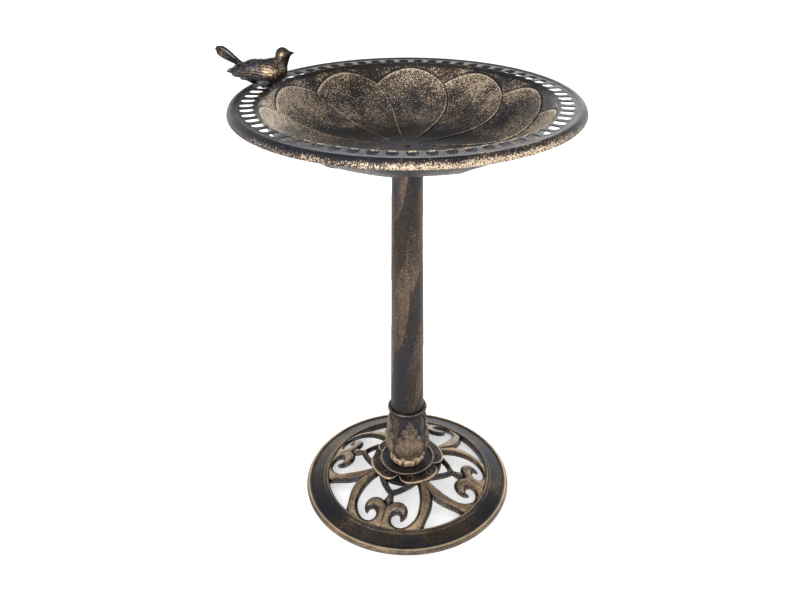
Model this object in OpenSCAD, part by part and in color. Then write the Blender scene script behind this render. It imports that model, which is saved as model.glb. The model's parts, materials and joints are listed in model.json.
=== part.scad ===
// Bird bath: a slotted basin with a small bird on its rim, a post in three sections, and an
// openwork base. Millimetres, +Z up, with the origin on the post's axis at ground level.

/* [Basin] */
// Diameter of the basin over its rolled lip
basin_d = 500; // [490:1:510]
// Height of the rim's crest above the ground
rim_h = 709.5; // [700:0.5:730]
// Depth of the bowl, from the crest down to its floor
bowl_depth = 70.5; // [66:0.5:74]
// Thickness of the basin's wall
sheet_t = 2; // [1.5:0.5:4]
// Number of slot pitches round the rim
slot_count = 60; // [54:1:60]
// Length of a slot, measured along the basin's radius
slot_l = 18.7; // [16:0.1:19]
// Width of a slot
slot_w = 14.5; // [12:0.1:15]
// Direction of the first slot, in degrees from +X
slot_turn = 1.5; // [0:0.5:5.5]

/* [Base] */
// Diameter of the ring that stands on the ground
base_d = 368; // [360:1:380]
// Direction of the first leaf ornament, in degrees from +X
base_turn = 251.2; // [180:0.1:270]
// Height of the openwork's top at the post's axis
hub_top = 50; // [48:1:54]
// Thickness of the openwork
openwork_t = 8; // [6:0.5:10]

/* [Post] */
// Radius of the post where it leaves the leaf collar
post_foot_r = 28.5; // [28:0.1:30]
// Radius of the post under the basin
post_top_r = 23; // [22.8:0.1:25]
// Height of the joint between the lower and the middle section
joint_1_z = 330; // [300:1:360]
// Height of the joint between the middle and the upper section
joint_2_z = 480; // [450:1:500]

/* [Bird] */
// Slot pitches from the first slot to the bird's seat, which is between two slots
bird_seat = 26; // [22:1:28]
// Radius of the bird's body at its thickest
bird_r = 19.5; // [18:0.5:20.5]

/* [Hidden] */
$fn = 96;

bronze = [0.30, 0.22, 0.15];
dark_bronze = [0.12, 0.11, 0.12];
gold_bronze = [0.52, 0.38, 0.22];
zinc = [0.62, 0.63, 0.65];
black_rubber = [0.06, 0.06, 0.06];

// Base, in plan: the openwork fills the ring from the hub's edge to the ring's inner wall
ring_in_r = 143;
ring_top = 19;
hub_r = 62;
dome_power = 3.2;
dome_step = hub_r / 8;
quarter_reach = 200;
prism_h = 80;
rosette_r = 66;
rosette_notch = 20;
rosette_t = 2.5;
screw_pitch_r = 53;
screw_spread = 20;
screw_head_r = 3.4;
screw_head_t = 0.9;
screw_r = 2;
screw_l = 8;
screw_sink = 1.2;

// Stack on the axis, from the ground up
rod_r = 5;
rod_hole_r = 5.3;
rod_end = 3;
nut_af = 17;
nut_t = 8.4;
washer_t = 1.6;
washer_r = 10;
boss_r = 22;
boss_z = hub_top - 20;
dish_z = hub_top + 1.4;
dish_seat_r = 49;
dish_floor_z = dish_z + 2.5;
knop_top_z = dish_floor_z + 21.1;
collar_floor_z = knop_top_z + 11;
collar_top_z = knop_top_z + 98;
collar_in_r = 27.2;
post_bore_r = 20;
upper_bore_r = 17.5;
coupler_1_r = 23;
coupler_2_r = 21.5;
coupler_in_r = 17;
coupler_half = 18;
chamfer = 0.8;

// Bowl: the floor is nearly flat and the wall steepens towards the rim
bowl_floor_z = rim_h - bowl_depth;
wall_r = 211;
wall_top = rim_h - 3.5;
bowl_power = 5;
band_z = rim_h - 1.5;
slot_mid_r = 222.4;

// Spigot under the basin, in the post's open top
flange_t = 4;
post_top_z = bowl_floor_z - sheet_t - flange_t;
spigot_r = 19.5;
spigot_gap = 0.08;
spigot_in_r = 14;
spigot_l = 32;
spigot_web = 10;
disc_z = post_top_z - 56.5;
disc_t = 5;
rod_top_z = disc_z + 18;
pan_screw_r = 2;
pan_screw_l = 24;
seal_t = 1.2;
seal_r = 6;
cut = 1;

// Bird and its stud
bird_turn = slot_turn + (bird_seat + 0.5) * 360 / slot_count;
stud_r = 2;
stud_gap = 0.08;
stud_below = 14;
stud_above = 15;
washer_gap = 0.3;
bird_washer_t = 1;
bird_washer_r = 7;
bird_foot_r = 7.5;
bird_nut_t = 3.2;
bird_nut_af = 7;
bird_forward = 4;
tail_t = 8;

function dome_z(r) = hub_top - (hub_top - ring_top) * pow(r / ring_in_r, dome_power);
function post_r(z) =
    post_foot_r + (post_top_r - post_foot_r) * (z - collar_top_z) / (post_top_z - collar_top_z);
function bowl_z(r) = bowl_floor_z + (wall_top - bowl_floor_z) * pow(r / wall_r, bowl_power);
function bowl_slope(r) =
    (wall_top - bowl_floor_z) * bowl_power / wall_r * pow(r / wall_r, bowl_power - 1);

// Point at t, from 0 to 1, between points i and i + 1 of a smooth closed curve through points p
function on_curve(p, i, t) =
    let (n = len(p), a = p[(i + n - 1) % n], b = p[i], c = p[(i + 1) % n], d = p[(i + 2) % n])
    b + t * (c - a) / 2 + t * t * (a - 2.5 * b + 2 * c - d / 2)
        + t * t * t * (1.5 * (b - c) + (d - a) / 2);
function smooth_loop(p, steps = 3) =
    [for (i = [0 : len(p) - 1], k = [0 : steps - 1]) on_curve(p, i, k / steps)];

// Plan outlines of one quarter of the openwork. X runs outward along the leaf ornament.
// The scroll leaves the hub, follows the ring, turns back along X and ends in a leaf hook.
scroll_outline = smooth_loop([
    [40, 46], [56, 61], [69.3, 69.8], [84, 73.5], [98, 73.5], [112, 71.5], [124, 70],
    [140, 62], [148, 40], [150, 15], [146, -4], [128, -4], [112, -4], [105, 1],
    [100, 7], [96, 15], [95.5, 24], [99, 32], [106, 37.5], [114.5, 38.5], [121.5, 35.5],
    [125.5, 29.5], [120, 28], [117, 24], [118, 19], [122, 15], [128, 14.5],
    [132.5, 18], [135, 25], [133.5, 35], [125.5, 45.5], [113, 52.5], [100, 53.5],
    [87, 51.5], [74, 47.5], [60, 41], [46, 33], [36, 33]
]);
arch_side = [[89.5, 0], [83.5, 9], [77.5, 16], [69.5, 23.5], [60, 30.5], [48, 37]];
arch_inner_side = [[44, 26], [54, 20], [62, 14.5], [69, 9.5], [73.5, 5], [76.5, 0]];
clasp_side = [[80, 0], [84, 4.5], [90, 6], [96, 8], [101, 9.5], [107, 4]];
rosette_outline = [
    for (a = [0 : 5 : 355])
        let (r = rosette_r - rosette_notch * pow(abs(a % 90 - 45) / 45, 6))
        [r * cos(a), r * sin(a)]
];

// A shell of the openwork's dome between two radii, raised by lift. Every shell has its corners at
// the same radii, so shells that touch fit face to face.
module dome_band(r_in, r_out, thick, lift = 0) {
    first = floor(r_in / dome_step) + 1;
    last = ceil(r_out / dome_step) - 1;
    radii = concat([r_in], [for (k = [first : last]) k * dome_step], [r_out]);
    rotate_extrude()
        polygon(concat(
            [for (r = radii) [r, dome_z(r) + lift]],
            [for (k = [len(radii) - 1 : -1 : 0]) [radii[k], dome_z(radii[k]) + lift - thick]]
        ));
}

module prism(outline) {
    linear_extrude(prism_h) polygon(outline);
}

// Both halves of an outline that is given for one side of X
module mirrored_prism(side) {
    prism(concat(side, [for (i = [len(side) - 1 : -1 : 0]) [side[i][0], -side[i][1]]]));
}

module clasp_plan() {
    mirrored_prism(clasp_side);
}

module arch_plan() {
    difference() {
        mirrored_prism(arch_side);
        mirrored_prism(arch_inner_side);
    }
}

module scroll_blank() {
    difference() {
        intersection() {
            dome_band(hub_r, ring_in_r, openwork_t);
            prism(scroll_outline);
            prism([[0, 0], [quarter_reach, 0], [quarter_reach, quarter_reach]]);
        }
        clasp_plan();
    }
}

module scroll_left(quarter) {
    color(bronze) rotate(base_turn + 90 * (quarter - 1)) mirror([0, 1, 0]) scroll_blank();
}

module scroll_right(quarter) {
    color(bronze) rotate(base_turn + 90 * (quarter - 1)) scroll_blank();
}

module arch(quarter) {
    color(bronze)
        rotate(base_turn + 90 * (quarter - 1))
        intersection() {
            dome_band(hub_r, ring_in_r, openwork_t);
            arch_plan();
        }
}

module clasp(quarter) {
    color(bronze)
        rotate(base_turn + 90 * (quarter - 1))
        difference() {
            intersection() {
                dome_band(hub_r, ring_in_r, openwork_t);
                clasp_plan();
            }
            arch_plan();
        }
}

// Ring with a rounded outer lip, a sloping face and a bead round its inner edge
module base_ring() {
    lip_r = base_d / 2;
    color(dark_bronze)
        rotate_extrude()
        polygon([
            [lip_r - 14, 0], [lip_r - 3.5, 0], [lip_r - 0.9, 1.8], [lip_r, 5],
            [lip_r - 0.6, 8.4], [lip_r - 2.4, 10.8], [lip_r - 5, 11.6], [lip_r - 7.6, 11],
            [lip_r - 9, 10],
            [152, 18.2], [150, 20.2], [147.5, 21], [145, 20.6], [ring_in_r, ring_top],
            [ring_in_r, 8], [148, 9], [lip_r - 16, 4]
        ]);
}

module screw_places() {
    for (petal = [0 : 3], side = [-1, 1])
        rotate(base_turn + 45 + 90 * petal + side * screw_spread)
            translate([screw_pitch_r, 0, 0])
            children();
}

// Height of the screw heads' seats in the rosette
function screw_seat_z() = dome_z(screw_pitch_r) + rosette_t - screw_sink;

module hub_plate() {
    color(dark_bronze)
        difference() {
            union() {
                dome_band(0, hub_r, openwork_t);
                translate([0, 0, boss_z]) cylinder(h = hub_top - 4 - boss_z, r = boss_r);
            }
            translate([0, 0, boss_z - cut]) cylinder(h = hub_top, r = rod_hole_r);
            screw_places()
                translate([0, 0, screw_seat_z() - screw_l])
                cylinder(h = screw_l + 4, r = screw_r);
        }
}

// Raised plate with four broad petals, flat in the middle where the dish sits
module rosette() {
    color(bronze)
        difference() {
            intersection() {
                dome_band(0, hub_r + dome_step, rosette_t, rosette_t);
                rotate(base_turn) prism(rosette_outline);
            }
            translate([0, 0, dish_z]) cylinder(h = 10, r = dish_seat_r);
            cylinder(h = prism_h, r = rod_hole_r);
            screw_places() {
                translate([0, 0, screw_seat_z() - screw_l]) cylinder(h = screw_l + 4, r = screw_r);
                translate([0, 0, screw_seat_z()]) cylinder(h = 8, r = screw_head_r);
            }
        }
}

module rosette_screws() {
    color(dark_bronze)
        screw_places() {
            translate([0, 0, screw_seat_z()]) cylinder(h = screw_head_t, r = screw_head_r);
            translate([0, 0, screw_seat_z() - screw_l]) cylinder(h = screw_l, r = screw_r);
        }
}

module dish() {
    color(dark_bronze)
        rotate_extrude()
        polygon([
            [rod_hole_r, dish_z], [46, dish_z], [48, dish_z + 1], [48.6, dish_z + 2.6],
            [48, dish_z + 4], [46.6, dish_z + 4.6], [45.2, dish_z + 4.2], [44, dish_floor_z + 0.6],
            [42, dish_floor_z], [rod_hole_r, dish_floor_z]
        ]);
}

module knop() {
    color(gold_bronze)
        rotate_extrude()
        polygon([
            [rod_hole_r, dish_floor_z], [26.5, dish_floor_z], [29.6, dish_floor_z + 2.6],
            [31, dish_floor_z + 7.1], [31, dish_floor_z + 12.1], [29.6, dish_floor_z + 16.1],
            [27.6, dish_floor_z + 18.7], [27.6, knop_top_z], [rod_hole_r, knop_top_z]
        ]);
}

// Hollow vase that hides the foot of the post
module leaf_collar() {
    color(bronze)
        rotate_extrude()
        polygon([
            [rod_hole_r, knop_top_z], [28, knop_top_z], [31, knop_top_z + 1.5],
            [35.4, knop_top_z + 7], [38.4, knop_top_z + 14], [39.4, knop_top_z + 22],
            [38.6, knop_top_z + 32], [36.4, knop_top_z + 45], [34.6, knop_top_z + 60],
            [33.4, knop_top_z + 75], [32.4, knop_top_z + 85], [32.4, collar_top_z - 8],
            [33.6, collar_top_z - 5.5], [33.8, collar_top_z - 2.5], [32.6, collar_top_z],
            [collar_in_r, collar_top_z], [collar_in_r, collar_floor_z],
            [rod_hole_r, collar_floor_z]
        ]);
}

// The lower section stands on the collar's floor and its shoulder covers the collar's mouth
module post_lower() {
    color(bronze)
        rotate_extrude()
        polygon([
            [post_bore_r, collar_floor_z], [collar_in_r, collar_floor_z],
            [collar_in_r, collar_top_z], [post_foot_r, collar_top_z],
            [post_r(joint_1_z - chamfer), joint_1_z - chamfer],
            [post_r(joint_1_z) - chamfer, joint_1_z],
            [coupler_1_r, joint_1_z], [coupler_1_r, joint_1_z - coupler_half],
            [post_bore_r, joint_1_z - coupler_half]
        ]);
}

module post_middle() {
    color(bronze)
        rotate_extrude()
        polygon([
            [coupler_1_r, joint_1_z], [post_r(joint_1_z) - chamfer, joint_1_z],
            [post_r(joint_1_z + chamfer), joint_1_z + chamfer],
            [post_r(joint_2_z - chamfer), joint_2_z - chamfer],
            [post_r(joint_2_z) - chamfer, joint_2_z],
            [coupler_2_r, joint_2_z], [coupler_2_r, joint_2_z - coupler_half],
            [post_bore_r, joint_2_z - coupler_half], [post_bore_r, joint_1_z + coupler_half],
            [coupler_1_r, joint_1_z + coupler_half]
        ]);
}

// The upper section has a shoulder for the clamp disc and a socket for the spigot
module post_upper() {
    socket_r = spigot_r + spigot_gap;
    color(bronze)
        rotate_extrude()
        polygon([
            [coupler_2_r, joint_2_z], [post_r(joint_2_z) - chamfer, joint_2_z],
            [post_r(joint_2_z + chamfer), joint_2_z + chamfer],
            [post_top_r, post_top_z], [socket_r, post_top_z], [socket_r, disc_z],
            [upper_bore_r, disc_z], [upper_bore_r, joint_2_z + coupler_half],
            [coupler_2_r, joint_2_z + coupler_half]
        ]);
}

module coupler(z, r) {
    color(zinc)
        translate([0, 0, z - coupler_half])
        difference() {
            cylinder(h = 2 * coupler_half, r = r);
            translate([0, 0, -cut]) cylinder(h = 2 * (coupler_half + cut), r = coupler_in_r);
        }
}

module lower_coupler() {
    coupler(joint_1_z, coupler_1_r);
}

module upper_coupler() {
    coupler(joint_2_z, coupler_2_r);
}

module tie_rod() {
    low_z = boss_z - washer_t - nut_t - rod_end;
    color(zinc) translate([0, 0, low_z]) cylinder(h = rod_top_z - low_z, r = rod_r);
}

module rod_nuts() {
    color(zinc)
        for (z = [boss_z - washer_t - nut_t, disc_z + disc_t + washer_t])
            translate([0, 0, z])
            difference() {
                cylinder(h = nut_t, r = nut_af / sqrt(3), $fn = 6);
                translate([0, 0, -cut]) cylinder(h = nut_t + 2 * cut, r = rod_r);
            }
}

module rod_washers() {
    color(zinc)
        for (z = [boss_z - washer_t, disc_z + disc_t])
            translate([0, 0, z])
            difference() {
                cylinder(h = washer_t, r = washer_r);
                translate([0, 0, -cut]) cylinder(h = washer_t + 2 * cut, r = rod_r);
            }
}

// Disc on the upper section's shoulder, which the top nut pulls down on
module clamp_disc() {
    color(zinc)
        translate([0, 0, disc_z])
        difference() {
            cylinder(h = disc_t, r = spigot_r);
            translate([0, 0, -cut]) cylinder(h = disc_t + 2 * cut, r = rod_hole_r);
        }
}

// Wall of the bowl, with its underside at one wall thickness along the normal, then the flat
// slotted band, the crest and the rolled lip
module basin_shell() {
    lip_r = basin_d / 2;
    steps = 16;
    radii = [for (k = [0 : steps]) wall_r * k / steps];
    rotate_extrude()
        polygon(concat(
            [for (r = radii) [r, bowl_z(r)]],
            [
                [wall_r + 2, band_z], [235, band_z], [238.5, rim_h - 0.4], [242, rim_h],
                [245.5, rim_h - 1.2], [248.3, rim_h - 4.2], [lip_r, rim_h - 9],
                [lip_r, rim_h - 11], [lip_r - 0.7, rim_h - 12.5],
                [lip_r - sheet_t, rim_h - 12], [lip_r - sheet_t, rim_h - 9.5],
                [248.3 - 0.85 * sheet_t, rim_h - 4.2 - 0.5 * sheet_t],
                [245.5 - 0.45 * sheet_t, rim_h - 1.2 - 0.9 * sheet_t],
                [242, rim_h - sheet_t], [237, band_z - sheet_t],
                [wall_r + sheet_t + 0.1, band_z - sheet_t]
            ],
            [for (k = [steps : -1 : 0])
                let (r = radii[k], s = bowl_slope(r), n = sqrt(1 + s * s))
                [r + sheet_t * s / n, bowl_z(r) - sheet_t / n]]
        ));
}

module slot() {
    half = (slot_l - slot_w) / 2;
    translate([-half, -slot_w / 2, 0]) cube([2 * half, slot_w, 20]);
    translate([-half, 0, 0]) cylinder(h = 20, r = slot_w / 2);
    translate([half, 0, 0]) cylinder(h = 20, r = slot_w / 2);
}

module basin() {
    color(bronze)
        difference() {
            basin_shell();
            for (k = [0 : slot_count - 1])
                rotate(slot_turn + k * 360 / slot_count)
                    translate([slot_mid_r, 0, band_z - 10])
                    slot();
            translate([0, 0, bowl_floor_z - 10]) cylinder(h = 20, r = pan_screw_r);
            rotate(bird_turn)
                translate([slot_mid_r, 0, band_z - 10])
                cylinder(h = 20, r = stud_r + stud_gap);
        }
}

module basin_spigot() {
    color(dark_bronze)
        translate([0, 0, post_top_z])
        difference() {
            union() {
                cylinder(h = flange_t, r = post_top_r - 0.4);
                translate([0, 0, -spigot_l]) cylinder(h = spigot_l, r = spigot_r);
            }
            translate([0, 0, -spigot_l - cut])
                cylinder(h = spigot_l + cut - spigot_web, r = spigot_in_r);
            translate([0, 0, -spigot_l]) cylinder(h = spigot_l + 10, r = pan_screw_r);
        }
}

module sealing_washer() {
    color(black_rubber)
        translate([0, 0, bowl_floor_z])
        difference() {
            cylinder(h = seal_t, r = seal_r);
            translate([0, 0, -cut]) cylinder(h = seal_t + 2 * cut, r = pan_screw_r);
        }
}

module basin_screw() {
    head_z = bowl_floor_z + seal_t;
    color(gold_bronze) {
        translate([0, 0, head_z])
            rotate_extrude()
            polygon([[0, 0], [4.2, 0], [4.2, 1], [3.4, 1.9], [2, 2.4], [0, 2.5]]);
        translate([0, 0, head_z - pan_screw_l]) cylinder(h = pan_screw_l, r = pan_screw_r);
    }
}

// Places its children on the bird's seat, with +X along the bird
module on_seat() {
    translate([slot_mid_r * cos(bird_turn), slot_mid_r * sin(bird_turn), band_z]) children();
}

module bird_body() {
    r = bird_r;
    translate([2, 0, 19.8])
        rotate([0, -88, 0])
        rotate_extrude()
        polygon([
            [0, -27], [5, -26.2], [12, -22.5], [17, -14.5], [r - 0.5, -5], [r, 2], [r - 0.7, 12],
            [16.5, 24], [13, 35], [8.5, 46], [4.5, 55], [2, 60], [0, 60.5]
        ]);
}

module bird_tail() {
    translate([-38, 0, 30.6])
        rotate([0, 36, 0])
        translate([0, 0, -tail_t / 2])
        linear_extrude(tail_t)
        polygon([
            [4, 5], [-12, 7], [-29, 9.5], [-37, 8.6], [-40.4, 5.2], [-41.8, 0],
            [-40.4, -5.2], [-37, -8.6], [-29, -9.5], [-12, -7], [4, -5]
        ]);
}

module bird() {
    color(gold_bronze)
        on_seat()
        difference() {
            union() {
                translate([bird_forward, 0, 0]) {
                    bird_body();
                    bird_tail();
                    translate([24, 0, 45.6]) sphere(r = 9.7);
                    translate([14, 0, 26]) rotate([0, 27, 0]) cylinder(h = 20, r1 = 14, r2 = 9);
                    translate([31, 0, 46.6])
                        rotate([0, 88, 0])
                        cylinder(h = 11.3, r1 = 5.8, r2 = 1);
                }
                cylinder(h = 8, r = bird_foot_r);
            }
            translate([0, 0, -cut]) cylinder(h = stud_above + cut, r = stud_r);
        }
}

module bird_stud() {
    color(zinc)
        on_seat()
        translate([0, 0, -stud_below])
        cylinder(h = stud_below + stud_above, r = stud_r);
}

module bird_washer() {
    color(zinc)
        on_seat()
        translate([0, 0, -sheet_t - washer_gap - bird_washer_t])
        difference() {
            cylinder(h = bird_washer_t, r = bird_washer_r);
            translate([0, 0, -cut]) cylinder(h = bird_washer_t + 2 * cut, r = stud_r);
        }
}

module bird_nut() {
    color(zinc)
        on_seat()
        translate([0, 0, -sheet_t - washer_gap - bird_washer_t - bird_nut_t])
        difference() {
            cylinder(h = bird_nut_t, r = bird_nut_af / sqrt(3), $fn = 6);
            translate([0, 0, -cut]) cylinder(h = bird_nut_t + 2 * cut, r = stud_r);
        }
}

base_ring();
hub_plate();
rosette();
rosette_screws();
for (quarter = [1 : 4]) {
    scroll_left(quarter);
    scroll_right(quarter);
    arch(quarter);
    clasp(quarter);
}
dish();
knop();
leaf_collar();
post_lower();
post_middle();
post_upper();
lower_coupler();
upper_coupler();
tie_rod();
rod_nuts();
rod_washers();
clamp_disc();
basin();
basin_spigot();
basin_screw();
sealing_washer();
bird();
bird_stud();
bird_washer();
bird_nut();
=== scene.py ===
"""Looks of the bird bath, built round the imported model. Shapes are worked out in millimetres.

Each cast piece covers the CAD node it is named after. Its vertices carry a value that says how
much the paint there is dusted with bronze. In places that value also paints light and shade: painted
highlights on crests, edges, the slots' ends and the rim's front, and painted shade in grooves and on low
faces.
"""
import json
import math

import bpy
import numpy as np
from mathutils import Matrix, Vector


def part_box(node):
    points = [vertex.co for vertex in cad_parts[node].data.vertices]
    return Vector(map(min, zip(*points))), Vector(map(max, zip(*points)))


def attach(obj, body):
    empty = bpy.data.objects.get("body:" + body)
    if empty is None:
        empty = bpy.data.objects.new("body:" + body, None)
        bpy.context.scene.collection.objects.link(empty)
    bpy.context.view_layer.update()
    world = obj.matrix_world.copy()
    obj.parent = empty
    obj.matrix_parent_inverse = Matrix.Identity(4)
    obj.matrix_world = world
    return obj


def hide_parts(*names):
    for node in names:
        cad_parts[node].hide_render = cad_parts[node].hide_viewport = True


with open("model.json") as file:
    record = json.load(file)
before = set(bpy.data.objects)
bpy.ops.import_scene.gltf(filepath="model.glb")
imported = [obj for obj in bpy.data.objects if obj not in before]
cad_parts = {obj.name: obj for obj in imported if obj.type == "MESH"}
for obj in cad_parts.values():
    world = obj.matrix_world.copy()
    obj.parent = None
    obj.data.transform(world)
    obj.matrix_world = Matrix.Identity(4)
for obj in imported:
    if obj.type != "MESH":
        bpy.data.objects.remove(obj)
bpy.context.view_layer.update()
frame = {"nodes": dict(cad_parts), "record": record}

MM = 0.001


def box_mm(node):
    low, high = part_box(node)
    return np.array(low) / MM, np.array(high) / MM


BASIN_LOW, BASIN_HIGH = box_mm("basin")
RING_R = box_mm("base_ring")[1][0]
DISH_Z = box_mm("dish")[0][2]
KNOP_Z, KNOP_TOP = (corner[2] for corner in box_mm("knop"))
COLLAR_Z, COLLAR_TOP = (corner[2] for corner in box_mm("leaf_collar"))
JOINT_1_Z = box_mm("post_middle")[0][2]
JOINT_2_Z, POST_TOP_Z = (corner[2] for corner in box_mm("post_upper"))
ROD_HOLE_R = 5.3

# Basin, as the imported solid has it
RIM_R = BASIN_HIGH[0]
RIM_Z = BASIN_HIGH[2]
BAND_Z = RIM_Z - 1.5
SHEET = 2.0
FLOOR_Z = BASIN_LOW[2] + SHEET
WALL_R = 211.0
WALL_TOP = RIM_Z - 3.5
SLOTS = 60
SLOT_TURN = 1.5
SLOT_R = 222.4
SLOT_LENGTH = 18.7
SLOT_WIDTH = 14.5

# Base
BASE_TURN = 251.2
HUB_TOP = DISH_Z - 1.4
RING_TOP = 19.0
RING_INNER_R = 143.0
HUB_R = 62.0


# ---------------------------------------------------------------- mesh tools

def smoothstep(a, b, x):
    t = np.clip((x - a) / (b - a), 0, 1)
    return t * t * (3 - 2 * t)


def bump(x, width):
    """1 at x = 0, falling smoothly to 0 at a distance of about two widths."""
    return np.exp(-(x / width) ** 2)


def rotated(points, degrees):
    a = math.radians(degrees)
    turn = np.array([[math.cos(a), math.sin(a)], [-math.sin(a), math.cos(a)]])
    out = np.array(points, dtype=float)
    out[:, :2] = out[:, :2] @ turn
    return out


def add_piece(node, verts, faces, dust_and_light, material, body):
    """The piece that stands for a CAD node: vertices in mm, lists of quads or triangles, and the per-vertex
    dust value, which also carries painted highlight and shade.
    """
    name = node + "_cast"
    mesh = bpy.data.meshes.new(name)
    loops = np.concatenate([np.asarray(f, dtype=np.int32).ravel() for f in faces])
    sizes = np.concatenate([np.full(len(f), np.asarray(f).shape[1], dtype=np.int32) for f in faces])
    starts = np.concatenate([[0], np.cumsum(sizes)[:-1]]).astype(np.int32)
    mesh.vertices.add(len(verts))
    mesh.vertices.foreach_set("co", (np.asarray(verts) * MM).astype(np.float32).ravel())
    mesh.loops.add(len(loops))
    mesh.loops.foreach_set("vertex_index", loops)
    mesh.polygons.add(len(sizes))
    mesh.polygons.foreach_set("loop_start", starts)
    mesh.update(calc_edges=True)
    mesh.validate()
    mesh.shade_smooth()
    layer = mesh.attributes.new("dust_and_light", "FLOAT", "POINT")
    layer.data.foreach_set("value", np.clip(dust_and_light, 0, 1).astype(np.float32))
    mesh.materials.append(material)
    piece = bpy.data.objects.new(name, mesh)
    bpy.context.scene.collection.objects.link(piece)
    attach(piece, body)
    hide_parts(node)


def ring_quads(rows, columns, start=0, closed=False):
    """Quads of a grid that wraps round in its columns, and also in its rows when it is closed."""
    row = np.arange(rows if closed else rows - 1)
    i, j = np.meshgrid(row, np.arange(columns), indexing="ij")
    i2 = (i + 1) % rows
    j2 = (j + 1) % columns
    quads = np.stack([i * columns + j, i * columns + j2, i2 * columns + j2, i2 * columns + j], axis=-1)
    return quads.reshape(-1, 4) + start


def soften(points, cut, closed=False):
    """Rounds the corners of an outline with short curves that start at most cut from each corner."""
    p = np.array(points, dtype=float)
    out = []
    for i in range(len(p)):
        if not closed and i in (0, len(p) - 1):
            out.append(p[i])
            continue
        a, b, c = p[i - 1], p[i], p[(i + 1) % len(p)]
        la, lc = np.linalg.norm(a - b), np.linalg.norm(c - b)
        pa = b + (a - b) * min(cut, 0.45 * la) / la
        pc = b + (c - b) * min(cut, 0.45 * lc) / lc
        out += [(1 - t) ** 2 * pa + 2 * t * (1 - t) * b + t * t * pc for t in (0, 0.33, 0.67, 1)]
    return np.array(out)


def divide(points, step, closed=False):
    """Adds points so that no part of an outline is longer than step."""
    p = np.array(points, dtype=float)
    if closed:
        p = np.vstack([p, p[:1]])
    out = []
    for a, b in zip(p[:-1], p[1:]):
        n = max(1, math.ceil(np.linalg.norm(b - a) / step))
        out += [a + (b - a) * k / n for k in range(n)]
    if not closed:
        out.append(p[-1])
    return np.array(out)


def turned(profile, columns, relief=None, closed=True):
    """A profile of (radius, height) swept round the axis and pushed out along its normal by relief."""
    p = np.asarray(profile, dtype=float)
    if closed:
        tangent = np.roll(p, -1, axis=0) - np.roll(p, 1, axis=0)
    else:
        tangent = np.gradient(p, axis=0)
    normal = np.stack([tangent[:, 1], -tangent[:, 0]], axis=1)
    normal /= np.maximum(np.linalg.norm(normal, axis=1), 1e-9)[:, None]
    angle = np.arange(columns) * 2 * math.pi / columns
    r, a = np.meshgrid(p[:, 0], angle, indexing="ij")
    z = np.repeat(p[:, 1][:, None], columns, axis=1)
    push = relief(a, r, z) if relief else np.zeros_like(r)
    r = r + push * normal[:, 0][:, None]
    z = z + push * normal[:, 1][:, None]
    verts = np.stack([r * np.cos(a), r * np.sin(a), z], axis=-1).reshape(-1, 3)
    return verts, ring_quads(len(p), columns, closed=closed), push.ravel()


def curve_distance(x, y, points):
    """Distance from places x, y to an open polyline."""
    best = np.full(x.shape, 1e9)
    for (ax, ay), (bx, by) in zip(points[:-1], points[1:]):
        dx, dy = bx - ax, by - ay
        t = np.clip(((x - ax) * dx + (y - ay) * dy) / max(dx * dx + dy * dy, 1e-9), 0, 1)
        best = np.minimum(best, (x - ax - t * dx) ** 2 + (y - ay - t * dy) ** 2)
    return np.sqrt(best)


def outline_distance(x, y, outline):
    """Distance from places x, y to a closed outline: positive inside it and negative outside."""
    p = np.array(outline, dtype=float)
    p = np.vstack([p, p[:1]])
    inside = np.zeros(x.shape, dtype=bool)
    for (ax, ay), (bx, by) in zip(p[:-1], p[1:]):
        if ay != by:
            inside ^= ((ay > y) != (by > y)) & (x < ax + (y - ay) * (bx - ax) / (by - ay))
    return np.where(inside, 1, -1) * curve_distance(x, y, p)


def rounded(d, reach):
    """A quarter round: 0 at the edge, where d is 0, and 1 from reach inwards."""
    return np.sqrt(1 - (1 - np.clip(d, 0, reach) / reach) ** 2)


def smooth_loop(points, steps=4, closed=True):
    """Points along a smooth curve through the given points."""
    p = np.array(points, dtype=float)
    if not closed:
        p = np.vstack([2 * p[0] - p[1], p, 2 * p[-1] - p[-2]])
    n = len(p)
    out = []
    for i in range(0 if closed else 1, n if closed else n - 2):
        a, b, c, d = p[i - 1], p[i], p[(i + 1) % n], p[(i + 2) % n]
        for k in range(steps):
            t = k / steps
            out.append(b + t * (c - a) / 2 + t * t * (a - 2.5 * b + 2 * c - d / 2)
                       + t ** 3 * (1.5 * (b - c) + (d - a) / 2))
    if not closed:
        out.append(p[n - 2])
    return np.array(out)


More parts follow.
